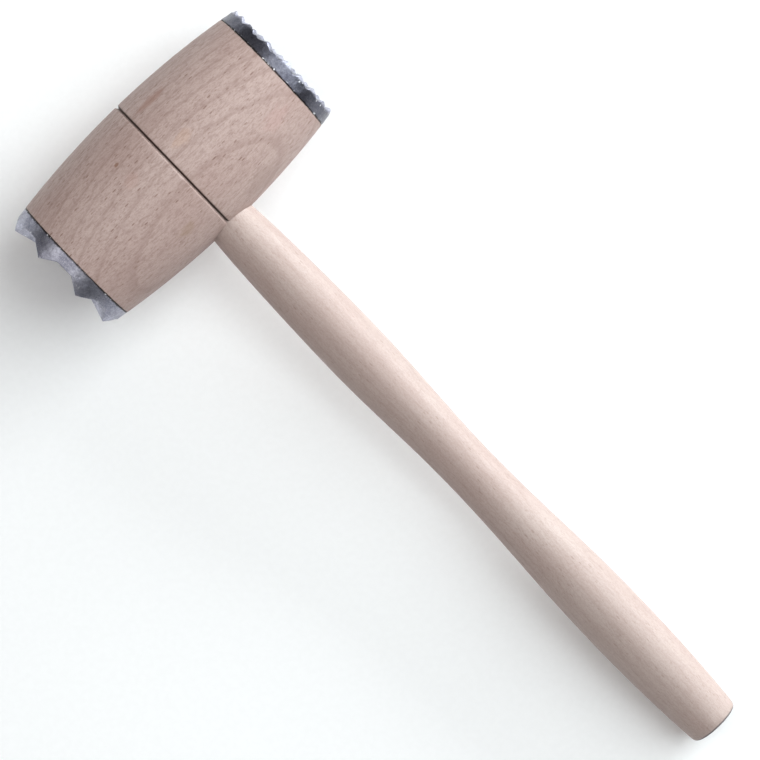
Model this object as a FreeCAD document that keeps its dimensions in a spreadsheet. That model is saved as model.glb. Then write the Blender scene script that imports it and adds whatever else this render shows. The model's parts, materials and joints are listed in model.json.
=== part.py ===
import FreeCAD, Part
import math
import os

import Sketcher

# A wooden meat mallet: a turned barrel head with a toothed metal cap nailed to each end, and a
# turned handle glued into a blind mortise in the barrel's side.
#
# Each piece is drawn in the head's own axes: the origin at the middle of the barrel, X along the
# handle, Y along the barrel towards the fine cap, Z up. The finished mallet lies on its belly
# with the handle's last swell on the same surface, so the pieces share one tilted placement.
# Lengths are millimetres, angles degrees.

SHEET = "Dimensions"

DIMENSIONS = (
    # Barrel
    ("belly_radius", 31.5, "barrel at its middle"),
    ("end_radius", 27.8, "barrel at the joints with the caps"),
    ("half_width", 51.7, "middle of the barrel to each joint"),
    ("spigot_radius", 24.5, "turned spigot that carries a cap"),
    ("spigot_height", 2.0, "spigot beyond the joint"),
    ("groove_width", 1.6, "mouth of the ring cut round the middle"),
    ("groove_depth", 1.1, "depth of that ring"),
    # Handle
    ("tenon_radius", 10.0, "handle where it enters the barrel"),
    ("tenon_length", 45.0, "tenon inside the barrel"),
    ("tenon_chamfer", 1.5, "chamfer on the tenon's end"),
    ("glue_room", 1.0, "gap between the tenon's end and the mortise"),
    ("handle_shift", 1.2, "handle's axis off the barrel's middle, towards the fine cap"),
    ("handle_reach", 301.0, "barrel axis to the butt"),
    ("butt_radius", 10.5, "handle at the butt before its edge is rounded"),
    ("butt_rounding", 1.8, "rounding of the butt's edge"),
    # Coarse cap
    ("coarse_floor", 4.7, "joint to the floor of the grooves"),
    ("coarse_height", 8.8, "joint to the tooth tips"),
    ("coarse_rim_radius", 27.1, "skirt at the level of the grooves"),
    ("coarse_tip_radius", 25.9, "skirt at the tooth tips"),
    ("coarse_land", 7.4, "flat floor of each groove"),
    ("coarse_wall_angle", 34.0, "slope of a groove's walls"),
    ("coarse_turn", 0.5, "turn of the groove pattern about the barrel axis"),
    ("coarse_nail_circle", 15.0, "barrel axis to each nail"),
    # Fine cap
    ("fine_floor", 4.3, "joint to the floor of the grooves"),
    ("fine_height", 6.5, "joint to the tooth tips"),
    ("fine_tip_radius", 26.8, "skirt at the tooth tips"),
    ("fine_pitch", 7.66, "spacing of the grooves"),
    ("fine_land", 0.4, "flat floor of each groove"),
    ("fine_wall_angle", 33.0, "slope of a groove's walls"),
    ("fine_turn", 61.0, "turn of the tooth grid about the barrel axis"),
    ("fine_shift_a", 5.36, "first grooves off the barrel axis"),
    ("fine_shift_b", 6.89, "crossing grooves off the barrel axis"),
    # Nails
    ("nail_radius", 1.1, "shank"),
    ("nail_head_radius", 2.5, "flat head"),
    ("nail_head_height", 1.0, "flat head"),
    ("nail_length", 22.0, "under the head to the point"),
    ("nail_point", 2.6, "length of the point"),
    ("nail_clearance", 0.1, "round the nail inside the cap"),
    # Room for a cutter beyond what it cuts
    ("overcut", 2.0, "cutter beyond the face"),
)

# Control points of the handle's outline, from the barrel to the butt: distance from the barrel
# axis, and radius. The first and last points are the ends of the outline.
HANDLE_OUTLINE = (
    (36.0, 10.5),
    (55.0, 11.4),
    (85.0, 12.2),
    (112.0, 12.2),
    (140.0, 10.6),
    (166.0, 10.0),
    (194.0, 11.0),
    (222.0, 12.6),
    (250.0, 12.9),
    (276.0, 12.3),
    (293.0, 11.3),
)

FINE_GROOVES = 8
COARSE_GROOVES = 4
NAILS_PER_CAP = 4
FINE_NAIL_STEPS = 2


class Size:
    """A length or angle with its value and the sheet expression that it follows."""

    def __init__(self, value, text):
        self.value = value
        self.text = text

    def __add__(self, other):
        return Size(self.value + other.value, f"({self.text} + {other.text})")

    def __sub__(self, other):
        return Size(self.value - other.value, f"({self.text} - {other.text})")

    def __neg__(self):
        return self * -1

    def __mul__(self, factor):
        return Size(self.value * factor, f"({self.text} * {factor})")

    def over_tangent(self, angle):
        """The run of a slope that climbs this height at this angle."""
        run = self.value / math.tan(math.radians(angle.value))
        return Size(run, f"({self.text} / tan({angle.text} * 1 deg))")

    def times_cosine(self, angle):
        value = self.value * math.cos(math.radians(angle.value))
        return Size(value, f"({self.text} * cos({angle.text} * 1 deg))")

    def times_sine(self, angle):
        value = self.value * math.sin(math.radians(angle.value))
        return Size(value, f"({self.text} * sin({angle.text} * 1 deg))")


ZERO = Size(0.0, "0")
RIGHT_ANGLE = Size(90.0, "90")


def add_sheet(doc):
    """The driving dimensions, and a Size for each by its name."""
    handle_cells = []
    for number, (distance, radius) in enumerate(HANDLE_OUTLINE, start=1):
        handle_cells.append((f"handle_distance_{number}", distance, "outline control point"))
        handle_cells.append((f"handle_radius_{number}", radius, "outline control point"))
    sheet = doc.addObject("Spreadsheet::Sheet", SHEET)
    sizes = {}
    for row, (name, value, meaning) in enumerate(DIMENSIONS + tuple(handle_cells), start=1):
        sheet.set(f"A{row}", name)
        sheet.set(f"B{row}", str(value))
        sheet.set(f"C{row}", meaning)
        sheet.setAlias(f"B{row}", name)
        sizes[name] = Size(value, f"{SHEET}.{name}")
    doc.recompute()
    return sizes


def add_body(doc, name):
    body = doc.addObject("PartDesign::Body", name)
    body.Label = name
    return body


def add_sketch(body, name, plane, height=ZERO, turn=ZERO, shift=ZERO):
    """A sketch on one of the body's origin planes, shifted along its own Y, lifted off the plane
    and turned about its own Y."""
    sketch = body.newObject("Sketcher::SketchObject", name)
    support = next(item for item in body.Origin.OriginFeatures if item.Role == plane)
    sketch.AttachmentSupport = [(support, "")]
    sketch.MapMode = "FlatFace"
    rotation = FreeCAD.Rotation(FreeCAD.Vector(0, 1, 0), turn.value)
    place = FreeCAD.Vector(0, shift.value, height.value)
    sketch.AttachmentOffset = FreeCAD.Placement(place, rotation)
    if height is not ZERO:
        sketch.setExpression("AttachmentOffset.Base.z", height.text)
    if shift is not ZERO:
        sketch.setExpression("AttachmentOffset.Base.y", shift.text)
    if turn is not ZERO:
        sketch.setExpression("AttachmentOffset.Rotation.Angle", turn.text)
    return sketch


def pin_point(sketch, name, geometry, end, across, up):
    """Hold a sketch point at distances from the origin that follow the sheet."""
    for kind, size in (("DistanceX", across), ("DistanceY", up)):
        constraint = Sketcher.Constraint(kind, -1, 1, geometry, end, size.value)
        index = sketch.addConstraint(constraint)
        label = f"{name}_{kind[-1].lower()}"
        sketch.renameConstraint(index, label)
        sketch.setExpression(f"Constraints.{label}", size.text)


def join_ends(sketch, sides):
    for this, following in zip(sides, sides[1:] + sides[:1]):
        sketch.addConstraint(Sketcher.Constraint("Coincident", this, 2, following, 1))


def draw_outline(sketch, corners, arc=None):
    """A closed outline through the corners. arc is (side number, radius) of a side that bulges
    outward; the corners then run anticlockwise."""
    points = [FreeCAD.Vector(across.value, up.value, 0) for across, up in corners]
    sides = []
    for number, start in enumerate(points):
        end = points[(number + 1) % len(points)]
        if arc is not None and number == arc[0]:
            side = bulging_arc(start, end, arc[1].value)
        else:
            side = Part.LineSegment(start, end)
        sides.append(sketch.addGeometry(side, False))
    join_ends(sketch, sides)
    for number, (across, up) in enumerate(corners):
        pin_point(sketch, f"corner_{number}", sides[number], 1, across, up)
    if arc is not None:
        constraint = Sketcher.Constraint("Radius", sides[arc[0]], arc[1].value)
        index = sketch.addConstraint(constraint)
        sketch.renameConstraint(index, "bulge")
        sketch.setExpression("Constraints.bulge", arc[1].text)


def bulging_arc(start, end, radius):
    """The arc from start anticlockwise to end that bulges to the right of the chord."""
    middle = (start + end) * 0.5
    chord = end - start
    reach = math.sqrt(radius**2 - (chord.Length / 2) ** 2)
    inward = FreeCAD.Vector(-chord.y, chord.x, 0).normalize()
    centre = middle + inward * reach
    circle = Part.Circle(centre, FreeCAD.Vector(0, 0, 1), radius)
    first = math.atan2(start.y - centre.y, start.x - centre.x)
    last = math.atan2(end.y - centre.y, end.x - centre.x)
    return Part.ArcOfCircle(circle, first, last)


def draw_circles(sketch, centres, radius):
    for number, (across, up) in enumerate(centres):
        centre = FreeCAD.Vector(across.value, up.value, 0)
        circle = Part.Circle(centre, FreeCAD.Vector(0, 0, 1), radius.value)
        geometry = sketch.addGeometry(circle, False)
        pin_point(sketch, f"centre_{number}", geometry, 3, across, up)
        index = sketch.addConstraint(Sketcher.Constraint("Radius", geometry, radius.value))
        sketch.renameConstraint(index, f"radius_{number}")
        sketch.setExpression(f"Constraints.radius_{number}", radius.text)


def turn_solid(body, name, sketch, axis):
    """Revolve a closed outline about the sketch's own horizontal or vertical axis."""
    turned = body.newObject("PartDesign::Revolution", name)
    turned.Profile = sketch
    turned.ReferenceAxis = (sketch, [axis])
    turned.Angle = 360.0
    return turned


def cut_groove_ring(body, name, sketch, axis):
    ring = body.newObject("PartDesign::Groove", name)
    ring.Profile = sketch
    ring.ReferenceAxis = (sketch, [axis])
    ring.Angle = 360.0
    return ring


def cut_through(body, name, sketch, side_type="One side", along_normal=False):
    """Cut the sketch through everything on one side of its plane, or on both."""
    pocket = body.newObject("PartDesign::Pocket", name)
    pocket.Profile = sketch
    pocket.SideType = side_type
    pocket.Type = "ThroughAll"
    pocket.Reversed = along_normal
    return pocket


def drill(body, name, centres, radius, start, outward):
    """Round holes along the barrel axis, from the plane at start out through the end face.
    The XZ plane's normal is -Y, so the sketch lies at minus start and cuts towards +Y when
    it isn't reversed."""
    sketch = add_sketch(body, f"{name}_circles", "XZ_Plane", height=-start)
    draw_circles(sketch, centres, radius)
    return cut_through(body, name, sketch, along_normal=outward < 0)


def fine_nail_centres(sizes):
    """Crossings of the fine grooves, two steps each side of the first groove beyond the axis."""
    pitch = sizes["fine_pitch"]
    near_a = sizes["fine_shift_a"] - pitch
    near_b = sizes["fine_shift_b"] - pitch
    step = pitch * FINE_NAIL_STEPS
    along_grid = ((near_a + step, near_b), (near_a, near_b + step))
    along_grid += ((near_a - step, near_b), (near_a, near_b - step))
    turn = sizes["fine_turn"]
    return [turned_point(along, across, turn) for along, across in along_grid]


def coarse_nail_centres(sizes):
    """Nails in every other arm of the star of coarse grooves."""
    reach = sizes["coarse_nail_circle"]
    turn = sizes["coarse_turn"]
    arms = ((reach, ZERO), (ZERO, reach), (-reach, ZERO), (ZERO, -reach))
    return [turned_point(along, across, turn) for along, across in arms]


def turned_point(along, across, turn):
    x = along.times_cosine(turn) - across.times_sine(turn)
    z = along.times_sine(turn) + across.times_cosine(turn)
    return x, z


def nail_top(sizes, cap):
    """The nail heads lie flush with the floor of the cap's grooves."""
    return sizes["half_width"] + sizes[f"{cap}_floor"]


def nail_end(sizes, cap):
    return nail_top(sizes, cap) - sizes["nail_head_height"] - sizes["nail_length"]


def make_head_block(doc, sizes):
    """The barrel: turned with a spigot on each end, ringed, bored for the tenon and nails."""
    body = add_body(doc, "head_block")
    half = sizes["half_width"]
    top = half + sizes["spigot_height"]
    end = sizes["end_radius"]
    spigot = sizes["spigot_radius"]
    corners = (
        (ZERO, -top),
        (spigot, -top),
        (spigot, -half),
        (end, -half),
        (end, half),
        (spigot, half),
        (spigot, top),
        (ZERO, top),
    )
    rise = sizes["belly_radius"] - end
    bulge_value = (half.value**2 + rise.value**2) / (2 * rise.value)
    bulge_text = f"({half.text} ^ 2 + {rise.text} ^ 2) / (2 * {rise.text})"
    outline = add_sketch(body, "barrel_outline", "XY_Plane")
    draw_outline(outline, corners, arc=(3, Size(bulge_value, bulge_text)))
    turn_solid(body, "barrel", outline, "V_Axis")

    belly = sizes["belly_radius"]
    mouth = sizes["groove_width"] * 0.5
    rim = belly + sizes["overcut"]
    ring_outline = add_sketch(body, "ring_outline", "XY_Plane")
    bottom = belly - sizes["groove_depth"]
    draw_outline(
        ring_outline,
        ((bottom, ZERO), (belly, -mouth), (rim, -mouth), (rim, mouth), (belly, mouth)),
    )
    cut_groove_ring(body, "middle_ring", ring_outline, "V_Axis")

    mortise_floor = belly - sizes["tenon_length"] - sizes["glue_room"]
    mortise_circle = add_sketch(body, "mortise_circle", "YZ_Plane", height=mortise_floor)
    draw_circles(mortise_circle, [(sizes["handle_shift"], ZERO)], sizes["tenon_radius"])
    cut_through(body, "mortise", mortise_circle, along_normal=True)

    radius = sizes["nail_radius"]
    drill(body, "fine_nail_holes", fine_nail_centres(sizes), radius, nail_end(sizes, "fine"), 1)
    coarse_start = -nail_end(sizes, "coarse")
    drill(body, "coarse_nail_holes", coarse_nail_centres(sizes), radius, coarse_start, -1)
    return body


def make_handle(doc, sizes):
    """The handle, turned in one piece with its tenon; its outline is one smooth curve."""
    body = add_body(doc, "handle")
    belly = sizes["belly_radius"]
    reach = sizes["handle_reach"]
    radius = sizes["tenon_radius"]
    tenon_end = belly - sizes["tenon_length"]
    chamfer = sizes["tenon_chamfer"]
    poles = [(belly, radius)]
    for number in range(1, len(HANDLE_OUTLINE) + 1):
        poles.append((sizes[f"handle_distance_{number}"], sizes[f"handle_radius_{number}"]))
    poles.append((reach, sizes["butt_radius"]))

    sketch = add_sketch(body, "handle_outline", "XY_Plane", shift=sizes["handle_shift"])
    straight = (
        (reach, sizes["butt_radius"]),
        (reach, ZERO),
        (tenon_end, ZERO),
        (tenon_end, radius - chamfer),
        (tenon_end + chamfer, radius),
        (belly, radius),
    )
    points = [FreeCAD.Vector(across.value, up.value, 0) for across, up in straight]
    sides = []
    for start, end in zip(points, points[1:]):
        sides.append(sketch.addGeometry(Part.LineSegment(start, end), False))
    for number in range(1, len(sides)):
        pin_point(sketch, f"corner_{number}", sides[number], 1, *straight[number])
    sides.append(add_spline(sketch, poles))
    join_ends(sketch, sides)
    turned = turn_solid(body, "turned_handle", sketch, "H_Axis")
    doc.recompute()

    rounding = body.newObject("PartDesign::Fillet", "butt_rounding_fillet")
    rounding.Base = (turned, [butt_edge(turned.Shape, reach.value)])
    rounding.Radius = sizes["butt_rounding"].value
    rounding.setExpression("Radius", sizes["butt_rounding"].text)
    return body


def add_spline(sketch, poles):
    """A cubic curve with clamped ends whose control points follow the sheet."""
    curve = Part.BSplineCurve()
    points = [FreeCAD.Vector(across.value, up.value, 0) for across, up in poles]
    curve.buildFromPoles(points, False, 3)
    spline = sketch.addGeometry(curve, False)
    for number, point in enumerate(points):
        marker = Part.Circle(point, FreeCAD.Vector(0, 0, 1), 1.0)
        circle = sketch.addGeometry(marker, True)
        alignment = "InternalAlignment:Sketcher::BSplineControlPoint"
        sketch.addConstraint(Sketcher.Constraint(alignment, circle, 3, spline, number))
        sketch.addConstraint(Sketcher.Constraint("Weight", circle, 1.0))
        pin_point(sketch, f"pole_{number}", circle, 3, *poles[number])
    return spline


def butt_edge(shape, reach):
    """The name of the circular edge round the flat butt."""
    for number, edge in enumerate(shape.Edges, start=1):
        box = edge.BoundBox
        if box.XMin > reach - 0.01 and box.YLength > 1.0:
            return f"Edge{number}"
    raise ValueError("the handle has no edge at its butt")


def make_cap_blank(body, sizes, cap, side, rim=None):
    """A turned cap with a skirt that carries on the barrel's taper and a recess for the spigot.
    side is 1 for the +Y end of the barrel and -1 for the other. rim is an optional corner
    between the skirt and the steeper band that the teeth stand on."""
    joint = sizes["half_width"]
    recess = joint + sizes["spigot_height"]
    top = joint + sizes[f"{cap}_height"]
    spigot = sizes["spigot_radius"]
    corners = [(ZERO, recess), (spigot, recess), (spigot, joint), (sizes["end_radius"], joint)]
    if rim is not None:
        corners.append(rim)
    corners += [(sizes[f"{cap}_tip_radius"], top), (ZERO, top)]
    outline = add_sketch(body, f"{cap}_cap_outline", "XY_Plane")
    draw_outline(outline, [(across, up * side) for across, up in corners])
    turn_solid(body, f"{cap}_cap_blank", outline, "V_Axis")


def groove_outline(sketch, sizes, cap, side, centre):
    """The section of one groove between teeth: a flat floor and two sloping walls."""
    floor = sizes["half_width"] + sizes[f"{cap}_floor"]
    depth = sizes[f"{cap}_height"] - sizes[f"{cap}_floor"] + sizes["overcut"]
    half_land = sizes[f"{cap}_land"] * 0.5
    half_mouth = half_land + depth.over_tangent(sizes[f"{cap}_wall_angle"])
    draw_outline(
        sketch,
        (
            (centre - half_land, floor * side),
            (centre + half_land, floor * side),
            (centre + half_mouth, (floor + depth) * side),
            (centre - half_mouth, (floor + depth) * side),
        ),
    )


def drill_cap(body, sizes, cap, side, centres):
    """Nail holes through the cap, and a seat for each nail head."""
    clearance = sizes["nail_clearance"]
    joint = sizes["half_width"] * side
    seat = (nail_top(sizes, cap) - sizes["nail_head_height"]) * side
    shank = sizes["nail_radius"] + clearance
    drill(body, f"{cap}_cap_nail_holes", centres, shank, joint, side)
    head = sizes["nail_head_radius"] + clearance
    drill(body, f"{cap}_cap_nail_seats", centres, head, seat, side)


def make_fine_cap(doc, sizes):
    """Two sets of parallel grooves cross at right angles and leave a grid of small pyramids."""
    cap = "fine"
    body = add_body(doc, "fine_face_cap")
    make_cap_blank(body, sizes, cap, 1)
    pitch = sizes["fine_pitch"]
    turn = -sizes["fine_turn"]
    directions = (
        ("first", turn, sizes["fine_shift_a"]),
        ("crossing", turn - RIGHT_ANGLE, sizes["fine_shift_b"]),
    )
    for name, angle, shift in directions:
        first_centre = shift - pitch * (FINE_GROOVES // 2)
        sketch = add_sketch(body, f"{name}_groove_outline", "XY_Plane", turn=angle)
        groove_outline(sketch, sizes, cap, 1, first_centre)
        groove = cut_through(body, f"{name}_groove", sketch, side_type="Symmetric")
        doc.recompute()
        row = body.newObject("PartDesign::LinearPattern", f"{name}_grooves")
        row.Originals = [groove]
        row.Direction = (sketch, ["H_Axis"])
        row.Mode = "Spacing"
        row.Offset = pitch.value
        row.setExpression("Offset", pitch.text)
        row.Occurrences = FINE_GROOVES
        body.Tip = row
    drill_cap(body, sizes, cap, 1, fine_nail_centres(sizes))
    return body


def make_coarse_cap(doc, sizes):
    """Broad grooves along four diameters leave a ring of teeth round a flat centre."""
    cap = "coarse"
    body = add_body(doc, "coarse_face_cap")
    rim = (sizes["coarse_rim_radius"], sizes["half_width"] + sizes["coarse_floor"])
    make_cap_blank(body, sizes, cap, -1, rim=rim)
    turn = -sizes["coarse_turn"]
    sketch = add_sketch(body, "star_groove_outline", "XY_Plane", turn=turn)
    groove_outline(sketch, sizes, cap, -1, ZERO)
    groove = cut_through(body, "star_groove", sketch, side_type="Symmetric")
    doc.recompute()
    star = body.newObject("PartDesign::PolarPattern", "star_grooves")
    star.Originals = [groove]
    star.Axis = (sketch, ["V_Axis"])
    star.Mode = "Spacing"
    star.Offset = 180.0 / COARSE_GROOVES
    star.Occurrences = COARSE_GROOVES
    body.Tip = star
    drill_cap(body, sizes, cap, -1, coarse_nail_centres(sizes))
    return body


def make_nail(doc, sizes, name, side):
    """A flat-head nail along Y with the top of its head at the origin."""
    body = add_body(doc, name)
    head = sizes["nail_head_height"]
    tip = head + sizes["nail_length"]
    shoulder = tip - sizes["nail_point"]
    shank = sizes["nail_radius"]
    corners = (
        (ZERO, ZERO),
        (sizes["nail_head_radius"], ZERO),
        (sizes["nail_head_radius"], head),
        (shank, head),
        (shank, shoulder),
        (ZERO, tip),
    )
    outline = add_sketch(body, f"{name}_outline", "XY_Plane")
    draw_outline(outline, [(across, up * -side) for across, up in corners])
    turn_solid(body, f"{name}_turned", outline, "V_Axis")
    return body


def lowest_handle_point(handle, tilt):
    """The height of the handle's lowest point under the barrel axis at a tilt, in radians."""
    shape = handle.Shape.copy()
    spin = FreeCAD.Rotation(FreeCAD.Vector(0, 1, 0), math.degrees(tilt))
    shape.Placement = FreeCAD.Placement(FreeCAD.Vector(), spin)
    return shape.optimalBoundingBox(False, False).ZMin


def lying_tilt(handle, sizes):
    """The handle's slope, in radians, when barrel and handle rest on one surface."""
    belly = sizes["belly_radius"].value
    reach = sizes["handle_reach"].value
    tilt = 0.0
    for _ in range(12):
        tilt += (lowest_handle_point(handle, tilt) + belly) / reach
    return tilt


def lying_placement(bodies, sizes):
    """Lay the mallet down, centred over the origin, on the plane Z = 0."""
    tilt = lying_tilt(bodies["handle"], sizes)
    spin = FreeCAD.Rotation(FreeCAD.Vector(0, 1, 0), math.degrees(tilt))
    whole = Part.makeCompound([body.Shape for body in bodies.values()])
    whole.Placement = FreeCAD.Placement(FreeCAD.Vector(), spin)
    box = whole.optimalBoundingBox(False, False)
    middle_x = (box.XMin + box.XMax) / 2
    middle_y = (box.YMin + box.YMax) / 2
    return FreeCAD.Placement(FreeCAD.Vector(-middle_x, -middle_y, -box.ZMin), spin)


def check_document(doc):
    for item in doc.Objects:
        if {"Invalid", "Error"} & set(item.State):
            raise RuntimeError(f"{item.Name} failed: {item.State}")


def export_parts(bodies):
    os.makedirs("parts", exist_ok=True)
    for label, body in bodies.items():
        shape = body.Shape
        if shape.isNull() or not shape.isValid() or len(shape.Solids) != 1:
            raise RuntimeError(f"{label} isn't one valid solid")
        shape.exportStep(f"parts/{label}.step")


def main():
    doc = FreeCAD.newDocument("MeatMallet")
    sizes = add_sheet(doc)
    bodies = {
        "head_block": make_head_block(doc, sizes),
        "handle": make_handle(doc, sizes),
        "fine_face_cap": make_fine_cap(doc, sizes),
        "coarse_face_cap": make_coarse_cap(doc, sizes),
    }
    doc.recompute()
    check_document(doc)
    lie = lying_placement(bodies, sizes)
    for body in bodies.values():
        body.Placement = lie

    nail_rows = (("fine", 1, fine_nail_centres), ("coarse", -1, coarse_nail_centres))
    for cap, side, centres in nail_rows:
        depth = nail_top(sizes, cap).value * side
        for number, (x, z) in enumerate(centres(sizes), start=1):
            name = f"{cap}_face_nail_{number}"
            nail = make_nail(doc, sizes, name, side)
            place = FreeCAD.Vector(x.value, depth, z.value)
            nail.Placement = lie * FreeCAD.Placement(place, FreeCAD.Rotation())
            bodies[name] = nail
    doc.recompute()
    check_document(doc)
    export_parts(bodies)
    for label, body in bodies.items():
        box = body.Shape.BoundBox
        print(label, round(body.Shape.Volume), "mm3", f"Z {box.ZMin:.2f} to {box.ZMax:.2f}")
    print("placement", lie)


main()
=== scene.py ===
import json
import math

import bmesh
import bpy
from mathutils import Matrix, Vector, noise


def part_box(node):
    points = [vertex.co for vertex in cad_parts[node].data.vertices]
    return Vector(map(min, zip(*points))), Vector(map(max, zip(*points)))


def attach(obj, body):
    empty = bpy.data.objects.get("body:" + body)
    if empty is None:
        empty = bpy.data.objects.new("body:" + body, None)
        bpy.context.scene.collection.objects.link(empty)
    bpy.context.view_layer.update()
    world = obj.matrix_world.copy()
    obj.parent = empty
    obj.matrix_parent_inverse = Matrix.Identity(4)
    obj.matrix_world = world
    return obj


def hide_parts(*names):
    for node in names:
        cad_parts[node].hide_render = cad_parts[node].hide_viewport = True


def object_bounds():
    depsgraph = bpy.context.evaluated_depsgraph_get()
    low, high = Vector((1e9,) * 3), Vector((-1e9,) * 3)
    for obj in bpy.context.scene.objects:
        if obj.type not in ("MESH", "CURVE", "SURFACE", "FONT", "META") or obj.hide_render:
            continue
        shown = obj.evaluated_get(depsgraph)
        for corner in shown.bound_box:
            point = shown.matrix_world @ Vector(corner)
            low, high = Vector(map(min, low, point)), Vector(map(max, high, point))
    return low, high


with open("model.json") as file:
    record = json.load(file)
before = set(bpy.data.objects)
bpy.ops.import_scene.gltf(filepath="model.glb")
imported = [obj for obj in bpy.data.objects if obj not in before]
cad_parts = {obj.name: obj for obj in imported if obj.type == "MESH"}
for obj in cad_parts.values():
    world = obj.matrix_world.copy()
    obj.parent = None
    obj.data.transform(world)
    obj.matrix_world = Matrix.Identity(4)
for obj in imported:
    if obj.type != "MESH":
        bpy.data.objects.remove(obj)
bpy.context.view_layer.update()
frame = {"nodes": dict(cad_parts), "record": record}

# The mallet lies on its belly. Pieces are built in the head's own axes, in millimetres: the
# origin at the middle of the barrel, X along the handle, Y along the barrel towards the fine
# cap, Z up. Each mesh is then turned and moved into the frame, in metres.

MM = 0.001

# Barrel
BELLY_RADIUS = 31.5
END_RADIUS = 27.8
HALF_WIDTH = 51.7
SPIGOT_RADIUS = 24.5
SPIGOT_HEIGHT = 2.0
JOINT_CHAMFER = 0.25
BARREL_STEPS = 70
BARREL_SEGMENTS = 288
BARREL_SHARP_DEGREES = 28

# The ring cut round the barrel. Its edge is eased by (distance from the middle, drop) points.
RING_HALF_WIDTH = 0.8
RING_DEPTH = 1.1
RING_FLOOR_HALF_WIDTH = 0.12
RING_FLOOR_SHARE = 0.86
RING_EDGE = ((0.744, 0.08), (0.92, 0.01))
RING_EDGE_END = 1.2

# Handle
TENON_RADIUS = 10.0
TENON_LENGTH = 45.0
TENON_CHAMFER = 1.5
TENON_STEPS = 12
TENON_END_GAP = 0.5
MORTISE_CLEARANCE = 1.0
BORE_OVERRUN = 5.0
BORE_SEGMENTS = 96
HANDLE_SHIFT = 1.2
HANDLE_REACH = 301.0
HANDLE_SEGMENTS = 160
HANDLE_SHARP_DEGREES = 40
BUTT_RADIUS = 10.5
BUTT_ROUNDING = 1.8
BUTT_STEPS = 12
BUTT_FLAT_SHARES = (0.8, 0.5, 0.2)

# The grip is one spline. Its control points are (distance along the handle, radius).
SPLINE_DEGREE = 3
GRIP_STEPS = 260
GRIP_END_GAP = 0.2
LAST_KNOT_GAP = 1e-6
SLOPE_SAMPLE = -12
HANDLE_OUTLINE = (
    (36.0, 10.5), (55.0, 11.4), (85.0, 12.2), (112.0, 12.2), (140.0, 10.6), (166.0, 10.0),
    (194.0, 11.0), (222.0, 12.6), (250.0, 12.9), (276.0, 12.3), (293.0, 11.3),
)

# Caps
CAP_VOXEL = 0.23
CAP_THINNING = 0.55
CAP_EASE_FACTOR = 0.5
CAP_EASE_STEPS = 2

# Nails
NAIL_RADIUS = 1.1
NAIL_HEAD_RADIUS = 2.5
NAIL_HEAD_HEIGHT = 1.0
NAIL_LENGTH = 22.0
NAIL_POINT = 2.6
# The head's eased rim: (distance from its top, how far inside its radius)
NAIL_HEAD_EDGE = ((0.0, 0.35), (0.12, 0.1), (0.35, 0.0), (NAIL_HEAD_HEIGHT, 0.15))
NAIL_SEGMENTS = 40
NAIL_SHARP_DEGREES = 35
NAILS_PER_CAP = 4

# Uneven skins. Each sits a margin inside the exact shape, so its swells stay within that shape.
CHIP_DEPTH = 0.35
CHIP_REACH = 0.5
CHIP_FINENESS = 9.0
CHIP_THRESHOLD = 0.25
BARREL_SWELL = 0.04
BARREL_MARGIN = 0.03
HANDLE_SWELL = 0.05
HANDLE_MARGIN = 0.04
CAST_SWELL = 0.08
CAST_GRIT = 0.04
CAST_MARGIN = 0.06


def mount(name):
    return next(item for item in frame["record"]["mounts"] if item["name"] == name)


def head_placement():
    """From the head's own axes in millimetres to the frame in metres."""
    low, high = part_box("head_block")
    radius = (high.z - low.z) / 2
    centre = Vector((low.x + radius, (low.y + high.y) / 2, low.z + radius))
    along = Vector(mount("butt_face")["axis"]).normalized()
    side = Vector((0, 1, 0))
    up = along.cross(side)
    turn = Matrix((along, side, up)).transposed().to_4x4()
    return Matrix.Translation(centre) @ turn @ Matrix.Scale(MM, 4)


PLACE = head_placement()


# ---------------------------------------------------------------- meshes


def finish_piece(name, mesh, node, material):
    """Put a mesh made in the head's axes into the frame, in place of its CAD node."""
    mesh.transform(PLACE)
    piece = bpy.data.objects.new(name, mesh)
    bpy.context.scene.collection.objects.link(piece)
    mesh.materials.clear()
    mesh.materials.append(material)
    for face in mesh.polygons:
        face.material_index = 0
    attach(piece, "root")
    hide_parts(node)


def turned_mesh(name, outline, axis, segments, wobble=None):
    """A solid of revolution. outline is (distance along the axis, radius) from end to end, and
    an end with radius 0 closes on the axis. wobble(along, angle) is added to the radius."""
    bm = bmesh.new()
    rings = []
    for along, radius in outline:
        if radius == 0.0:
            rings.append([bm.verts.new(axis_point(axis, along, 0.0, 0.0))])
            continue
        ring = []
        for step in range(segments):
            angle = 2 * math.pi * step / segments
            reach = radius + (wobble(along, angle) if wobble else 0.0)
            ring.append(bm.verts.new(axis_point(axis, along, angle, reach)))
        rings.append(ring)
    for lower, upper in zip(rings, rings[1:]):
        bridge(bm, lower, upper, segments)
    bmesh.ops.recalc_face_normals(bm, faces=bm.faces)
    mesh = bpy.data.meshes.new(name)
    bm.to_mesh(mesh)
    bm.free()
    return mesh


def axis_point(axis, along, angle, reach):
    """A point at an angle round the axis and at a distance from it."""
    across = reach * math.cos(angle)
    up = reach * math.sin(angle)
    if axis == "X":
        return Vector((along, across, up))
    return Vector((across, along, up))


def bridge(bm, lower, upper, segments):
    """Faces between two rings. A ring of one point closes the solid."""
    for step in range(segments):
        following = (step + 1) % segments
        if len(lower) == 1:
            bm.faces.new((lower[0], upper[following], upper[step]))
        elif len(upper) == 1:
            bm.faces.new((lower[step], lower[following], upper[0]))
        else:
            bm.faces.new((lower[step], lower[following], upper[following], upper[step]))


def smooth_by_angle(mesh, degrees):
    """Smooth shading with the sharp edges kept."""
    for face in mesh.polygons:
        face.use_smooth = True
    mesh.set_sharp_from_angle(angle=math.radians(degrees))


def spaced(start, end, count):
    """Values from start to end, in count equal steps."""
    return [start + (end - start) * step / count for step in range(count + 1)]


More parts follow.
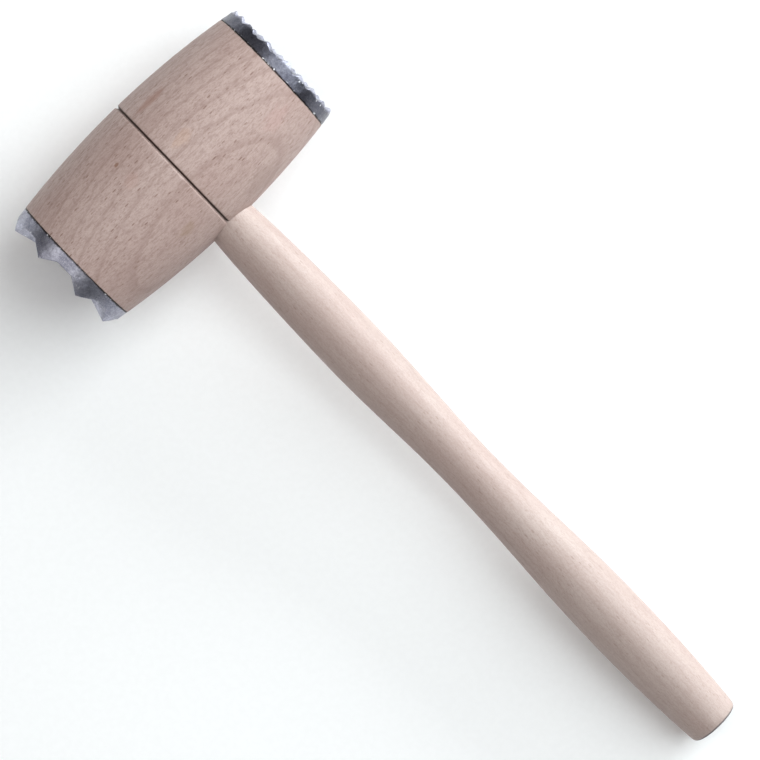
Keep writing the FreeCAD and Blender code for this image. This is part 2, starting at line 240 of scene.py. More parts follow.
def barrel_radius(along):
    """The barrel's side is one shallow arc from joint to joint."""
    rise = BELLY_RADIUS - END_RADIUS
    bulge = (HALF_WIDTH**2 + rise**2) / (2 * rise)
    return BELLY_RADIUS - bulge + math.sqrt(bulge**2 - along**2)


def barrel_outline():
    """Ring, arc, chamfer and spigot, the same on both sides of the middle."""
    half = HALF_WIDTH
    top = half + SPIGOT_HEIGHT
    lip = barrel_radius(RING_HALF_WIDTH)
    right = [(0.0, BELLY_RADIUS - RING_DEPTH)]
    right += [(RING_FLOOR_HALF_WIDTH, BELLY_RADIUS - RING_DEPTH * RING_FLOOR_SHARE)]
    right += [(along, lip - drop) for along, drop in RING_EDGE]
    side = spaced(RING_EDGE_END, half - JOINT_CHAMFER, BARREL_STEPS)
    right += [(along, barrel_radius(along)) for along in side]
    right += [(half, END_RADIUS - JOINT_CHAMFER), (half, SPIGOT_RADIUS)]
    right += [(top, SPIGOT_RADIUS), (top, 0.0)]
    left = [(-along, radius) for along, radius in reversed(right[1:])]
    return left + right


def barrel_wobble(along, angle):
    """A faint swell, and small chips along the ring's edges."""
    round_point = Vector((math.cos(angle), math.sin(angle), 0.0))
    near_ring = math.exp(-((abs(along) - RING_HALF_WIDTH) / CHIP_REACH) ** 2)
    chance = noise.noise(round_point * CHIP_FINENESS + Vector((0, 0, along)))
    chip = max(0.0, chance - CHIP_THRESHOLD)
    swell = noise.noise(round_point * 1.3 + Vector((0, 0, along * 0.03)))
    return -chip * CHIP_DEPTH * near_ring + swell * BARREL_SWELL - BARREL_MARGIN


def make_head(material):
    outline = barrel_outline()
    mesh = turned_mesh("head_block_wood", outline, "Y", BARREL_SEGMENTS, barrel_wobble)
    smooth_by_angle(mesh, BARREL_SHARP_DEGREES)
    cut_mortise(mesh)
    finish_piece("beech_head", mesh, "head_block", material)


def cut_mortise(mesh):
    """Bore the blind hole for the tenon."""
    floor = BELLY_RADIUS - TENON_LENGTH - MORTISE_CLEARANCE
    mouth = BELLY_RADIUS + BORE_OVERRUN
    outline = [(floor, 0.0), (floor, TENON_RADIUS), (mouth, TENON_RADIUS), (mouth, 0.0)]
    bore = turned_mesh("mortise_bore", outline, "X", BORE_SEGMENTS)
    bore.transform(Matrix.Translation((0.0, HANDLE_SHIFT, 0.0)))
    cutter = bpy.data.objects.new("bore_work", bore)
    bpy.context.scene.collection.objects.link(cutter)
    cut = {"operation": "DIFFERENCE", "object": cutter, "solver": "EXACT"}
    reshape(mesh, ("BOOLEAN", cut))
    bpy.data.objects.remove(cutter)


def reshape(mesh, *modifiers):
    """Run modifiers, each a kind and its settings, on a mesh in place."""
    holder = bpy.data.objects.new("work", mesh)
    bpy.context.scene.collection.objects.link(holder)
    for kind, settings in modifiers:
        modifier = holder.modifiers.new(kind.lower(), kind)
        for key, value in settings.items():
            setattr(modifier, key, value)
    graph = bpy.context.evaluated_depsgraph_get()
    result = bpy.data.meshes.new_from_object(holder.evaluated_get(graph), depsgraph=graph)
    bm = bmesh.new()
    bm.from_mesh(result)
    holder.modifiers.clear()
    bm.to_mesh(mesh)
    bm.free()
    bpy.data.meshes.remove(result)
    bpy.data.objects.remove(holder)


def spline_weights(order, knots, parameter):
    """The weight of each control point of a clamped B-spline, by the usual recursion."""
    spans = len(knots) - 1
    weights = [0.0] * spans
    for span in range(spans):
        if knots[span] <= parameter < knots[span + 1]:
            weights[span] = 1.0
    for degree in range(1, order):
        for index in range(spans - degree):
            value = 0.0
            run = knots[index + degree] - knots[index]
            if run > 0:
                value += (parameter - knots[index]) / run * weights[index]
            run = knots[index + degree + 1] - knots[index + 1]
            if run > 0:
                value += (knots[index + degree + 1] - parameter) / run * weights[index + 1]
            weights[index] = value
    return weights[: spans - order + 1]


def handle_curve(samples):
    """The cubic curve that the control points give, from the barrel to the butt."""
    poles = [(BELLY_RADIUS, TENON_RADIUS), *HANDLE_OUTLINE, (HANDLE_REACH, BUTT_RADIUS)]
    spans = len(poles) - SPLINE_DEGREE
    inner = [float(step) for step in range(spans + 1)]
    knots = [0.0] * SPLINE_DEGREE + inner + [float(spans)] * SPLINE_DEGREE
    points = []
    for parameter in spaced(0.0, spans - LAST_KNOT_GAP, samples):
        weights = spline_weights(SPLINE_DEGREE + 1, knots, parameter)
        along = sum(weight * pole[0] for weight, pole in zip(weights, poles))
        radius = sum(weight * pole[1] for weight, pole in zip(weights, poles))
        points.append((along, radius))
    return points


def handle_outline():
    """Tenon, curved grip, rounded butt edge and flat butt."""
    start = BELLY_RADIUS - TENON_LENGTH
    outline = [(start, 0.0), (start, TENON_RADIUS - TENON_CHAMFER)]
    tenon = spaced(start + TENON_CHAMFER, BELLY_RADIUS - TENON_END_GAP, TENON_STEPS)
    outline += [(along, TENON_RADIUS) for along in tenon]
    grip = handle_curve(GRIP_STEPS)
    before, last = grip[SLOPE_SAMPLE], grip[-1]
    slope = math.atan2(before[1] - last[1], last[0] - before[0])
    centre_x = HANDLE_REACH - BUTT_ROUNDING
    edge_x = centre_x + BUTT_ROUNDING * math.sin(slope)
    edge_radius = next(radius for along, radius in grip if along >= edge_x)
    centre_radius = edge_radius - BUTT_ROUNDING * math.cos(slope)
    outline += [point for point in grip if point[0] < edge_x - GRIP_END_GAP]
    for angle in spaced(math.pi / 2 - slope, 0.0, BUTT_STEPS):
        along = centre_x + BUTT_ROUNDING * math.cos(angle)
        outline.append((along, centre_radius + BUTT_ROUNDING * math.sin(angle)))
    outline += [(HANDLE_REACH, centre_radius * share) for share in BUTT_FLAT_SHARES]
    return outline + [(HANDLE_REACH, 0.0)]


def handle_wobble(along, angle):
    """A faint swell that changes slowly along the handle."""
    round_point = Vector((math.cos(angle), math.sin(angle), along * 0.02))
    return noise.noise(round_point * 1.1) * HANDLE_SWELL - HANDLE_MARGIN


def make_handle(material):
    outline = handle_outline()
    mesh = turned_mesh("handle_wood", outline, "X", HANDLE_SEGMENTS, handle_wobble)
    mesh.transform(Matrix.Translation((0.0, HANDLE_SHIFT, 0.0)))
    smooth_by_angle(mesh, HANDLE_SHARP_DEGREES)
    finish_piece("beech_handle", mesh, "handle", material)


def make_cap(node, material, seed):
    """A cast cap: a copy of the exact mesh, remeshed finely, with eased edges, an uneven skin
    and in the end fewer faces."""
    mesh = frame["nodes"][node].data.copy()
    mesh.transform(PLACE.inverted())
    skin = ("REMESH", {"mode": "VOXEL", "voxel_size": CAP_VOXEL})
    ease = ("SMOOTH", {"factor": CAP_EASE_FACTOR, "iterations": CAP_EASE_STEPS})
    reshape(mesh, skin, ease)
    roughen_casting(mesh, seed)
    reshape(mesh, ("DECIMATE", {"ratio": CAP_THINNING}))
    for face in mesh.polygons:
        face.use_smooth = True
    finish_piece(f"cast_{node}", mesh, node, material)


def roughen_casting(mesh, seed):
    """Low swells and small pits, as a sand casting has."""
    shift = Vector((seed * 17.0, seed * 5.0, seed * 11.0))
    normals = [vertex.normal.copy() for vertex in mesh.vertices]
    for vertex, normal in zip(mesh.vertices, normals):
        swell = noise.noise(vertex.co * 0.35 + shift) * CAST_SWELL
        grit = noise.noise(vertex.co * 1.7 + shift) * CAST_GRIT
        vertex.co += normal * (swell + grit - CAST_MARGIN)


def make_nail(node, side, material):
    """A flat-head nail: eased head, plain shank, cut point."""
    tip = NAIL_HEAD_HEIGHT + NAIL_LENGTH
    outline = [(0.0, 0.0)]
    outline += [(along, NAIL_HEAD_RADIUS - inset) for along, inset in NAIL_HEAD_EDGE]
    outline += [(NAIL_HEAD_HEIGHT, NAIL_RADIUS), (tip - NAIL_POINT, NAIL_RADIUS), (tip, 0.0)]
    outline = [(along * -side, radius) for along, radius in outline]
    mesh = turned_mesh(node, outline, "Y", NAIL_SEGMENTS)
    smooth_by_angle(mesh, NAIL_SHARP_DEGREES)
    low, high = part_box(node)
    middle = PLACE.inverted() @ ((low + high) / 2)
    top = middle.y + side * tip / 2
    mesh.transform(Matrix.Translation((middle.x, top, middle.z)))
    finish_piece(f"wire_{node}", mesh, node, material)


# ---------------------------------------------------------------- materials


# Where the mix node keeps its colour sockets: their names repeat, so only the places tell.
MIX_FIRST_COLOUR = 6
MIX_SECOND_COLOUR = 7
MIX_COLOUR_RESULT = 2


class Graph:
    """A short way to write a node tree."""

    def __init__(self, name):
        self.material = bpy.data.materials.new(name)
        self.material.use_nodes = True
        self.tree = self.material.node_tree
        self.tree.nodes.clear()
        self.place = self.head_axes()

    def add(self, kind, inputs=None, **settings):
        node = self.tree.nodes.new(kind)
        for key, value in settings.items():
            setattr(node, key, value)
        for key, value in (inputs or {}).items():
            self.feed(node.inputs[key], value)
        return node

    def feed(self, socket, value):
        if isinstance(value, bpy.types.NodeSocket):
            self.tree.links.new(value, socket)
        else:
            socket.default_value = value

    def head_axes(self):
        """The place of a point in the head's axes, in millimetres."""
        coordinates = self.add("ShaderNodeTexCoord")
        mapping = self.add("ShaderNodeMapping", {"Vector": coordinates.outputs["Object"]})
        mapping.vector_type = "TEXTURE"
        centre, turn, scale = PLACE.decompose()
        mapping.inputs["Location"].default_value = centre
        mapping.inputs["Rotation"].default_value = turn.to_euler()
        mapping.inputs["Scale"].default_value = scale
        return mapping.outputs["Vector"]

    def millimetres(self, scale=(1.0,) * 3, shift=(0.0,) * 3, turn=(0.0,) * 3):
        """The place in the head's axes, turned in degrees, stretched and then shifted."""
        turned = self.add("ShaderNodeMapping", {"Vector": self.place})
        turned.inputs["Rotation"].default_value = [math.radians(angle) for angle in turn]
        mapping = self.add("ShaderNodeMapping", {"Vector": turned.outputs["Vector"]})
        mapping.inputs["Scale"].default_value = scale
        mapping.inputs["Location"].default_value = shift
        return mapping.outputs["Vector"]

    def even(self, scale, shift=(0.0,) * 3):
        """The place in the head's axes, stretched the same in every direction."""
        return self.millimetres((scale,) * 3, shift)

    def along(self, axis):
        """One coordinate of the place in the head's axes, in millimetres."""
        split = self.add("ShaderNodeSeparateXYZ", {"Vector": self.place})
        return split.outputs[axis]

    def band(self, value, start, end, soft):
        """One between start and end, nought outside, with soft sides."""
        rise = self.remap(value, start - soft, start + soft)
        fall = self.remap(value, end - soft, end + soft, 1.0, 0.0)
        return self.math("MULTIPLY", rise, fall)

    def noise(self, vector, scale, detail=2.0, rough=0.5, distortion=0.0):
        node = self.add("ShaderNodeTexNoise", {"Vector": vector, "Scale": scale})
        node.inputs["Detail"].default_value = detail
        node.inputs["Roughness"].default_value = rough
        node.inputs["Distortion"].default_value = distortion
        return node.outputs["Fac"]

    def math(self, operation, first, second=0.0):
        node = self.add("ShaderNodeMath", operation=operation)
        self.feed(node.inputs[0], first)
        self.feed(node.inputs[1], second)
        return node.outputs[0]

    def remap(self, value, low, high, to_low=0.0, to_high=1.0):
        node = self.add("ShaderNodeMapRange", {"Value": value}, interpolation_type="SMOOTHSTEP")
        limits = (("From Min", low), ("From Max", high), ("To Min", to_low), ("To Max", to_high))
        for key, number in limits:
            node.inputs[key].default_value = number
        return node.outputs["Result"]

    def length(self, vector):
        node = self.add("ShaderNodeVectorMath", {0: vector}, operation="LENGTH")
        return node.outputs["Value"]

    def mix(self, share, first, second):
        node = self.add("ShaderNodeMix", data_type="RGBA")
        self.feed(node.inputs["Factor"], share)
        self.feed(node.inputs[MIX_FIRST_COLOUR], first)
        self.feed(node.inputs[MIX_SECOND_COLOUR], second)
        return node.outputs[MIX_COLOUR_RESULT]

    def ramp(self, value, stops):
        node = self.add("ShaderNodeValToRGB", {"Fac": value})
        elements = node.color_ramp.elements
        while len(elements) < len(stops):
            elements.new(0.5)
        for element, (position, colour) in zip(elements, stops):
            element.position = position
            element.color = colour
        return node.outputs["Color"]

    def bump(self, height, strength, distance):
        node = self.add("ShaderNodeBump", {"Height": height})
        node.inputs["Strength"].default_value = strength
        node.inputs["Distance"].default_value = distance * MM
        return node.outputs["Normal"]

    def surface(self, colour, roughness, normal, metallic=0.0):
        shader = self.add("ShaderNodeBsdfPrincipled")
        self.feed(shader.inputs["Base Color"], colour)
        self.feed(shader.inputs["Roughness"], roughness)
        self.feed(shader.inputs["Normal"], normal)
        shader.inputs["Metallic"].default_value = metallic
        output = self.add("ShaderNodeOutputMaterial")
        self.tree.links.new(shader.outputs["BSDF"], output.inputs["Surface"])
        return shader


def srgb(red, green, blue):
    """A colour given as 0 to 255 display values."""
    values = []
    for value in (red, green, blue):
        share = value / 255
        values.append(share / 12.92 if share <= 0.04045 else ((share + 0.055) / 1.055) ** 2.4)
    return (*values, 1.0)


FLECK_BROWN = srgb(112, 76, 62)
# Painted shade with a burnt tone in the ring, and the stain at the joints
RING_SHADE_AND_STAIN_BROWN = srgb(46, 28, 21)
END_GRAIN_PALE = srgb(150, 128, 118)
END_GRAIN_DARK = srgb(108, 86, 78)
BUTT_RIM_GREY = srgb(72, 66, 70)

CAST_DULL = srgb(150, 150, 165)
CAST_PLAIN = srgb(174, 174, 189)
CAST_LIGHT = srgb(200, 200, 214)
CAST_MOTTLE = srgb(120, 120, 136)
CAST_SPECK_PALE = srgb(236, 236, 242)
CAST_SPECK_DARK = srgb(96, 96, 108)
# Painted dark reflection on the cap skirts
DARK_REFLECTION_GREY = srgb(44, 43, 52)
# Painted highlight with rub wear on the tooth edges
RUBBED_HIGHLIGHT_WHITE = srgb(240, 240, 246)
# Painted shade in the corners
CORNER_SHADE_GREY = srgb(48, 46, 52)
GRIME_BROWN = srgb(50, 42, 40)
GLINT_WHITE = srgb(236, 236, 240)

NAIL_BRIGHT = srgb(178, 178, 184)
NAIL_DULL = srgb(98, 95, 98)
FLOOR_WHITES = (srgb(250, 250, 250), srgb(252, 252, 252))

# Year rings: their spacing in millimetres, and the wave texture's own spacing at scale 1
RING_SPACING = 2.6
WAVE_SPACING = 0.314

# Each timber: its grain axis, pale, warm and dark tints, where the pith runs and how it leans
# in degrees, and the strength of its year rings, fibres and ray flecks
HEAD_TIMBER = {
    "grain_axis": "Y",
    "tints": (srgb(186, 164, 157), srgb(179, 155, 148), srgb(132, 103, 94)),
    "pith": (13.0, 0.0, 11.0),
    "lean": (1.0, 0.0, 1.5),
    "ring_share": 0.26,
    "fibre_share": 0.40,
    "fleck_share": 0.62,
}
HANDLE_TIMBER = {
    "grain_axis": "X",
    "tints": (srgb(185, 168, 161), srgb(180, 160, 153), srgb(140, 113, 104)),
    "pith": (0.0, 30.0, 26.0),
    "lean": (0.0, 1.0, 2.0),
    "ring_share": 0.10,
    "fibre_share": 0.17,
    "fleck_share": 0.3,
}

# The wood's textures: their scales across and along the grain
STREAK_SCALES = (0.45, 0.04)
FIBRE_SCALES = (1.4, 0.32)
PORE_SCALES = (2.6, 1.2)
PATCH_SCALES = (0.045, 0.02)

# Ray flecks: scales across and along the grain, a seed, and the size of the largest
LARGE_FLECKS = (1.0, 0.28, 3.1, 0.32)
SMALL_FLECKS = (1.6, 0.42, 8.7, 0.30)

# Where marks, painted shade, painted reflection and painted highlights start and end, in
# # millimetres: across the ring, inside the butt's radius, before the butt's end, and beyond the
# joint
RING_SHADE_BAND = (-0.05, RING_HALF_WIDTH - 0.1, 0.12)
STAIN_HALF_WIDTH = 0.15
BUTT_RIM_INSETS = (3.2, 2.0)
END_GRAIN_DEPTHS = (1.1, 0.5)
DARK_REFLECTION_FADE = 1.2
TEETH_RISE = (2.0, 3.5)
GRIME_EDGE = (-0.35, 0.2)
GLINT_BAND = (0.1, 0.7, 0.15)

# Marks in the head's wood: centre and radii in millimetres, colour, strength
HEAD_MARKS = (
    ((-23.6, 11.3, 20.4), (2.4, 9.0, 3.4), srgb(146, 100, 82), 0.4),
    ((-4.9, 9.3, 30.8), (3.0, 6.0, 4.0), srgb(190, 150, 120), 0.22),
    ((-14.7, -15.2, 27.6), (0.9, 1.3, 1.6), srgb(124, 82, 56), 0.7),
    ((-6.5, -15.0, 30.4), (3.0, 5.5, 4.0), srgb(172, 124, 110), 0.15),
    ((14.2, 40.0, 25.5), (4.0, 8.0, 5.0), srgb(184, 146, 140), 0.25),
    ((27.0, 20.3, 15.0), (5.0, 13.0, 9.0), srgb(146, 122, 112), 0.35),
    ((21.2, -13.3, 23.0), (2.6, 6.0, 4.0), srgb(152, 126, 102), 0.35),
)


def stretched(grain_axis, across, along):
    """Scales that run a texture out along the grain."""
    return tuple(along if axis == grain_axis else across for axis in "XYZ")


def grain_noise(graph, grain_axis, scales, detail, rough=0.5, distortion=0.0):
    """Noise drawn out along the grain."""
    vector = graph.millimetres(stretched(grain_axis, *scales))
    return graph.noise(vector, 1.0, detail, rough, distortion)


def ray_flecks(graph, grain_axis, across, along, seed, size):
    """Short dark dashes along the grain: one at most in each cell of a stretched lattice."""
    wander = graph.noise(graph.even(0.06), 1.0, 1.0)
    scale = stretched(grain_axis, across, along)
    vector = graph.millimetres(scale, shift=(seed, seed * 2, seed * 3))
    cells = graph.add("ShaderNodeTexVoronoi", {"Vector": vector, "Scale": 1.0})
    chance = graph.add("ShaderNodeSeparateColor", {"Color": cells.outputs["Color"]})
    gathered = graph.math("ADD", chance.outputs["Red"], graph.math("MULTIPLY", wander, 0.7))
    reach = graph.remap(gathered, 0.75, 1.35, 0.0, size)
    inside = graph.math("SUBTRACT", reach, cells.outputs["Distance"])
    depth = graph.remap(chance.outputs["Green"], 0.0, 1.0, 0.35, 1.0)
    return graph.math("MULTIPLY", graph.remap(inside, 0.0, 0.07), depth)


def growth_rings(graph, grain_axis, pith, lean):
    """Year rings round a pith line that leans a little from the piece's axis."""
    vector = graph.millimetres(stretched(grain_axis, 1.0, 1.0), shift=pith, turn=lean)
    rings = graph.add("ShaderNodeTexWave", {"Vector": vector})
    rings.wave_type = "RINGS"
    rings.rings_direction = grain_axis
    rings.wave_profile = "SAW"
    rings.inputs["Scale"].default_value = WAVE_SPACING / RING_SPACING
    rings.inputs["Distortion"].default_value = 1.3
    rings.inputs["Detail"].default_value = 2.0
    rings.inputs["Detail Scale"].default_value = 0.06
    rings.inputs["Detail Roughness"].default_value = 0.45
    rise = graph.remap(rings.outputs["Fac"], 0.68, 0.92)
    fall = graph.remap(rings.outputs["Fac"], 0.92, 1.0, 1.0, 0.0)
    return graph.math("MULTIPLY", rise, fall)


def beech(graph, grain_axis, tints, pith, lean, ring_share, fibre_share, fleck_share):
    """Sanded beech: faint rings about a pith line, soft streaks, pores and ray flecks.
    Gives its colour and its relief."""
    pale, warm, dark = tints
    streaks = grain_noise(graph, grain_axis, STREAK_SCALES, 3.0, 0.6, 0.3)
    fibres = grain_noise(graph, grain_axis, FIBRE_SCALES, 2.0, 0.6, 0.4)
    pores = grain_noise(graph, grain_axis, PORE_SCALES, 1.0)
    patches = grain_noise(graph, grain_axis, PATCH_SCALES, 2.0)
    late_wood = growth_rings(graph, grain_axis, pith, lean)

    colour = graph.mix(graph.remap(patches, 0.3, 0.7), pale, warm)
    colour = graph.mix(graph.remap(streaks, 0.35, 0.75, 0.0, 0.16), colour, dark)
    colour = graph.mix(graph.math("MULTIPLY", late_wood, ring_share), colour, dark)
    colour = graph.mix(graph.remap(fibres, 0.44, 0.70, 0.0, fibre_share), colour, dark)
    colour = graph.mix(graph.remap(pores, 0.35, 0.75, 0.0, 0.24), colour, dark)

    large = ray_flecks(graph, grain_axis, *LARGE_FLECKS)
    small = ray_flecks(graph, grain_axis, *SMALL_FLECKS)
    flecks = graph.math("MAXIMUM", large, graph.math("MULTIPLY", small, 0.8))
    colour = graph.mix(graph.math("MULTIPLY", flecks, fleck_share), colour, FLECK_BROWN)
    relief = graph.math("SUBTRACT", graph.math("MULTIPLY", fibres, 0.6), flecks)
    return colour, relief


def wood_surface(graph, colour, relief):
    """A sanded skin, a little shinier in places."""
    tone = graph.noise(graph.even(0.3), 1.0, 2.0)
    rough = graph.remap(tone, 0.2, 0.8, 0.5, 0.62)
    shader = graph.surface(colour, rough, graph.bump(relief, 0.35, 0.12))
    shader.inputs["Specular IOR Level"].default_value = 0.45
    return graph.material


def head_beech():
    """Beech with a few marks, painted shade with a burnt tone on one side and the floor of the
    ring, and a stain at the joints.
    """
    graph = Graph("head_beech")
    colour, relief = beech(graph, **HEAD_TIMBER)
    for centre, radii, tint, strength in HEAD_MARKS:
        share = graph.math("MULTIPLY", patch_mask(graph, centre, radii), strength)
        colour = graph.mix(share, colour, tint)
    from_middle = graph.along("Y")
    # Painted shade with a burnt tone on the fine-side wall and floor of the ring
    ring_shade = graph.band(from_middle, *RING_SHADE_BAND)
    colour = graph.mix(graph.math("MULTIPLY", ring_shade, 0.95), colour, RING_SHADE_AND_STAIN_BROWN)
    edge = graph.math("ABSOLUTE", from_middle)
    ragged = graph.noise(graph.even(0.5), 1.0, 2.0)
    reach = graph.math("ADD", edge, graph.math("MULTIPLY", ragged, 0.5))
    start, end = HALF_WIDTH - STAIN_HALF_WIDTH, HALF_WIDTH + STAIN_HALF_WIDTH
    stain = graph.remap(reach, start, end, 0.0, 0.85)
    colour = graph.mix(stain, colour, RING_SHADE_AND_STAIN_BROWN)
    return wood_surface(graph, colour, relief)


def handle_beech():
    """Beech with end grain and a dark rim on the butt."""
    graph = Graph("handle_beech")
    colour, relief = beech(graph, **HANDLE_TIMBER)
    end_pores = graph.noise(graph.millimetres((0.4, 2.2, 2.2)), 1.0, 2.0, 0.6)
    pore_share = graph.remap(end_pores, 0.35, 0.7)
    end_colour = graph.mix(pore_share, END_GRAIN_PALE, END_GRAIN_DARK)
    from_axis = graph.millimetres((0.0, 1.0, 1.0), shift=(0.0, -HANDLE_SHIFT, 0.0))
    radius = graph.length(from_axis)
    rim_share = graph.remap(radius, *(BUTT_RADIUS - inset for inset in BUTT_RIM_INSETS))
    end_colour = graph.mix(rim_share, end_colour, BUTT_RIM_GREY)
    start, end = (HANDLE_REACH - depth for depth in END_GRAIN_DEPTHS)
    end_share = graph.remap(graph.along("X"), start, end, 0.0, 0.92)
    colour = graph.mix(end_share, colour, end_colour)
    return wood_surface(graph, colour, relief)


def patch_mask(graph, centre, radii):
    """A soft ellipsoid round a point of the piece, with a broken edge."""
    scale = tuple(1.0 / radius for radius in radii)
    shift = tuple(-place / radius for place, radius in zip(centre, radii))
    vector = graph.millimetres(scale, shift=shift)
    distance = graph.length(vector)
    ragged = graph.noise(graph.millimetres((0.5, 0.15, 0.5)), 1.0, 3.0, 0.6)
    edge = graph.math("MULTIPLY", ragged, 1.6)
    inside = graph.math("SUBTRACT", edge, graph.math("SUBTRACT", distance, 0.2))
    return graph.remap(inside, 0.0, 0.6)


def cast_aluminium(name, dark_reflection_height, darkening, gloss):
    """Light alloy as cast: clouded and speckled grey, a painted dark reflection up to a height
    above the joint, painted shade in its corners, a painted highlight with rub wear on the tooth
    edges, and grime and glints at the joint. The third argument is the strength of the painted
    dark reflection, from 0 to 1, and gloss is the lowest roughness."""
    graph = Graph(name)
    clouds = graph.noise(graph.even(0.12), 1.0, 2.0, 0.55, 0.5)
    mottle = graph.noise(graph.even(0.8), 1.0, 3.0, 0.65)
    speckle = graph.noise(graph.even(2.4), 1.0, 2.0, 0.6)
    edges = graph.add("ShaderNodeNewGeometry").outputs["Pointiness"]

    stops = ((0.32, CAST_DULL), (0.5, CAST_PLAIN), (0.7, CAST_LIGHT))
    colour = graph.ramp(clouds, stops)
    colour = graph.mix(graph.remap(mottle, 0.35, 0.75, 0.0, 0.45), colour, CAST_MOTTLE)
    colour = graph.mix(graph.remap(speckle, 0.52, 0.75, 0.0, 0.6), colour, CAST_SPECK_PALE)
    colour = graph.mix(graph.remap(speckle, 0.25, 0.45, 0.5, 0.0), colour, CAST_SPECK_DARK)

    beyond = graph.math("SUBTRACT", graph.math("ABSOLUTE", graph.along("Y")), HALF_WIDTH)
    ragged = graph.noise(graph.even(0.45), 1.0, 3.0, 0.6)
    reach = graph.math("SUBTRACT", beyond, graph.math("MULTIPLY", ragged, 1.1))
    # Painted dark reflection: the skirt is darkened up to a height above the joint
    fade_start = dark_reflection_height - DARK_REFLECTION_FADE
    dark_reflection = graph.remap(reach, fade_start, dark_reflection_height, darkening, 0.0)
    colour = graph.mix(dark_reflection, colour, DARK_REFLECTION_GREY)
    # Painted highlight with rub wear: the sharp tooth edges are made near white
    on_teeth = graph.remap(beyond, *TEETH_RISE)
    rubbed_highlight = graph.math("MULTIPLY", graph.remap(edges, 0.54, 0.62, 0.0, 0.7), on_teeth)
    colour = graph.mix(rubbed_highlight, colour, RUBBED_HIGHLIGHT_WHITE)
    # Painted shade: darker where the surface folds inward, in corners and between the teeth
    colour = graph.mix(graph.remap(edges, 0.42, 0.48, 0.75, 0.0), colour, CORNER_SHADE_GREY)
    colour = graph.mix(graph.remap(reach, *GRIME_EDGE, 0.85, 0.0), colour, GRIME_BROWN)
    chance = graph.noise(graph.even(0.9, shift=(7.0, 3.0, 5.0)), 1.0, 2.0, 0.6)
    near_joint = graph.band(beyond, *GLINT_BAND)
    glints = graph.math("MULTIPLY", near_joint, graph.remap(chance, 0.60, 0.66))
    colour = graph.mix(glints, colour, GLINT_WHITE)

    rough = graph.remap(mottle, 0.25, 0.75, gloss, gloss + 0.18)
    specks = graph.math("MULTIPLY", speckle, 0.5)
    relief = graph.math("ADD", graph.math("MULTIPLY", mottle, 0.8), specks)
    graph.surface(colour, rough, graph.bump(relief, 0.55, 0.12), metallic=1.0)
    return graph.material


def nail_steel():
    """Drawn steel with long scratches and dull patches."""
    graph = Graph("nail_steel")
    scratches = graph.noise(graph.millimetres((6.0, 1.0, 0.8)), 1.0, 2.0, 0.6)
    darkening = graph.noise(graph.millimetres(), 0.9, 3.0, 0.6)
    colour = graph.mix(graph.remap(darkening, 0.4, 0.75, 0.0, 0.7), NAIL_BRIGHT, NAIL_DULL)
    rough = graph.remap(scratches, 0.3, 0.7, 0.25, 0.5)
    graph.surface(colour, rough, graph.bump(scratches, 0.3, 0.04), metallic=1.0)
    return graph.material


def floor_material():
    """Almost white paper."""
    graph = Graph("studio_floor")
    grain = graph.noise(graph.millimetres(), 0.4, 2.0)
    colour = graph.mix(graph.remap(grain, 0.3, 0.7), *FLOOR_WHITES)
    graph.surface(colour, 0.9, graph.bump(grain, 0.02, 0.1))
    return graph.material


# ---------------------------------------------------------------- studio

FLOOR_HALF_SIZE = 3.0
FLOOR_GAP = 0.0002

KEY_SIZE = 0.6
FILL_SIZE = 1.6
KEY_TINT = (0.92, 0.98, 1.0)
FILL_TINT = (1.0, 0.985, 0.97)
LIGHT_DISTANCE = 1.5

# Each light: name, azimuth and elevation in degrees, size in metres, power in watts, tint.
# Azimuth 90 stands towards the fine cap.
LIGHTS = (
    ("key_low", 90.0, 12.0, KEY_SIZE, 24.5, KEY_TINT),
    ("key_high", 70.0, 50.0, FILL_SIZE, 22.5, KEY_TINT),
    ("back_fill", -115.0, 65.0, FILL_SIZE, 10.0, FILL_TINT),
    ("left_high", 135.0, 60.0, FILL_SIZE, 3.0, FILL_TINT),
)
HORIZON_GLOW = 0.32
HORIZON_TOP = 0.6

# The camera looks straight down, from a height above the head's middle and along the handle
CAMERA_HEIGHT = 1.24
CAMERA_ALONG_HANDLE = 0.1136
CAMERA_TURN = 46.05
CAMERA_FOCAL_PIXELS = 3240.0
PICTURE_PIXELS = 760
SENSOR_WIDTH = 36.0
CLIP_END = 20.0


def add_floor():
    mesh = bpy.data.meshes.new("studio_floor")
    bm = bmesh.new()
    bmesh.ops.create_grid(bm, x_segments=4, y_segments=4, size=FLOOR_HALF_SIZE)
    bm.to_mesh(mesh)
    bm.free()
    floor = bpy.data.objects.new("studio_floor", mesh)
    bpy.context.scene.collection.objects.link(floor)
    floor.location.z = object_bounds()[0][2] - FLOOR_GAP
    mesh.materials.append(floor_material())


def add_camera():
    data = bpy.data.cameras.new("studio_camera")
    data.sensor_width = SENSOR_WIDTH
    data.lens = CAMERA_FOCAL_PIXELS / PICTURE_PIXELS * SENSOR_WIDTH
    data.clip_end = CLIP_END
    camera = bpy.data.objects.new("studio_camera", data)
    bpy.context.scene.collection.objects.link(camera)
    head = PLACE.translation
    camera.location = (head.x + CAMERA_ALONG_HANDLE, head.y, head.z + CAMERA_HEIGHT)
    camera.rotation_euler = (0.0, 0.0, math.radians(CAMERA_TURN))
    bpy.context.scene.camera = camera


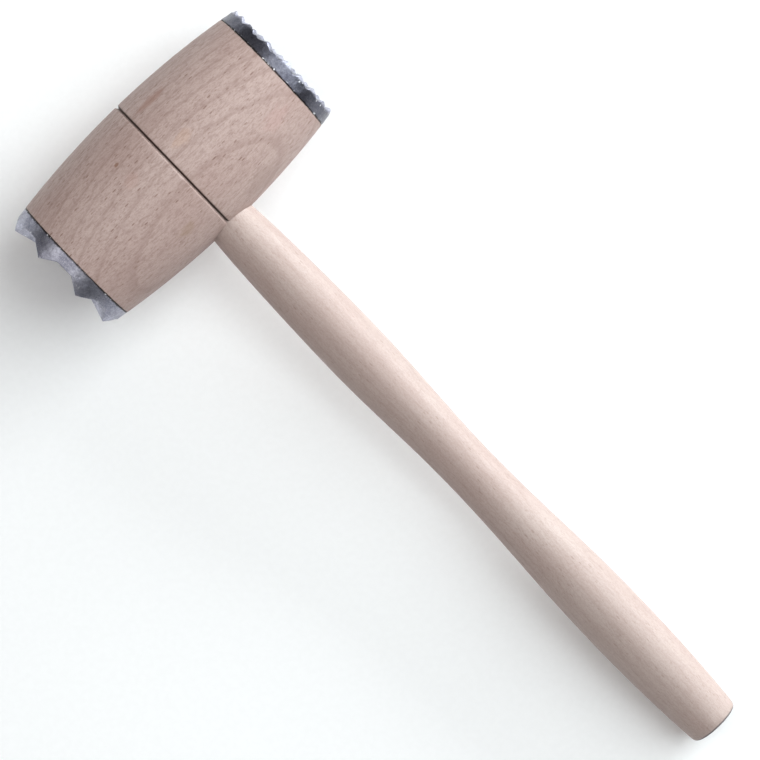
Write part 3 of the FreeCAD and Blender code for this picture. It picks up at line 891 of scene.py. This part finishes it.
def add_light(name, azimuth, elevation, size, power, tint):
    """A square soft light that looks at the middle of the mallet."""
    data = bpy.data.lights.new(name, "AREA")
    data.shape = "SQUARE"
    data.size = size
    data.energy = power
    data.color = tint
    light = bpy.data.objects.new(name, data)
    bpy.context.scene.collection.objects.link(light)
    turn = math.radians(azimuth)
    rise = math.radians(elevation)
    flat = math.cos(rise)
    way = Vector((flat * math.cos(turn), flat * math.sin(turn), math.sin(rise)))
    light.location = way * LIGHT_DISTANCE
    light.rotation_euler = way.to_track_quat("Z", "Y").to_euler()


def add_horizon():
    """A pale glow round the horizon that fades to a dark ceiling."""
    world = bpy.data.worlds.new("studio")
    world.use_nodes = True
    tree = world.node_tree
    background = tree.nodes["Background"]
    background.inputs["Color"].default_value = (1.0, 1.0, 1.0, 1.0)
    coordinates = tree.nodes.new("ShaderNodeTexCoord")
    split = tree.nodes.new("ShaderNodeSeparateXYZ")
    fade = tree.nodes.new("ShaderNodeMapRange")
    fade.inputs["From Min"].default_value = 0.0
    fade.inputs["From Max"].default_value = HORIZON_TOP
    fade.inputs["To Min"].default_value = HORIZON_GLOW
    fade.inputs["To Max"].default_value = 0.0
    tree.links.new(coordinates.outputs["Generated"], split.inputs["Vector"])
    tree.links.new(split.outputs["Z"], fade.inputs["Value"])
    tree.links.new(fade.outputs["Result"], background.inputs["Strength"])
    bpy.context.scene.world = world


def add_lights():
    for light in LIGHTS:
        add_light(*light)
    add_horizon()


# ---------------------------------------------------------------- the mallet


def build():
    head_wood = head_beech()
    handle_wood = handle_beech()
    # The fine cap gets a strong painted dark reflection on its skirt, the coarse cap a faint one
    fine_metal = cast_aluminium(
        "cast_aluminium_fine", dark_reflection_height=5.0, darkening=0.74, gloss=0.26
    )
    coarse_metal = cast_aluminium(
        "cast_aluminium_coarse", dark_reflection_height=5.0, darkening=0.18, gloss=0.32
    )
    steel = nail_steel()
    make_head(head_wood)
    make_handle(handle_wood)
    make_cap("fine_face_cap", fine_metal, seed=1)
    make_cap("coarse_face_cap", coarse_metal, seed=2)
    for cap, side in (("fine", 1), ("coarse", -1)):
        for number in range(1, NAILS_PER_CAP + 1):
            make_nail(f"{cap}_face_nail_{number}", side, steel)


build()
add_floor()
add_camera()
add_lights()
bpy.context.scene.view_settings.view_transform = "Standard"

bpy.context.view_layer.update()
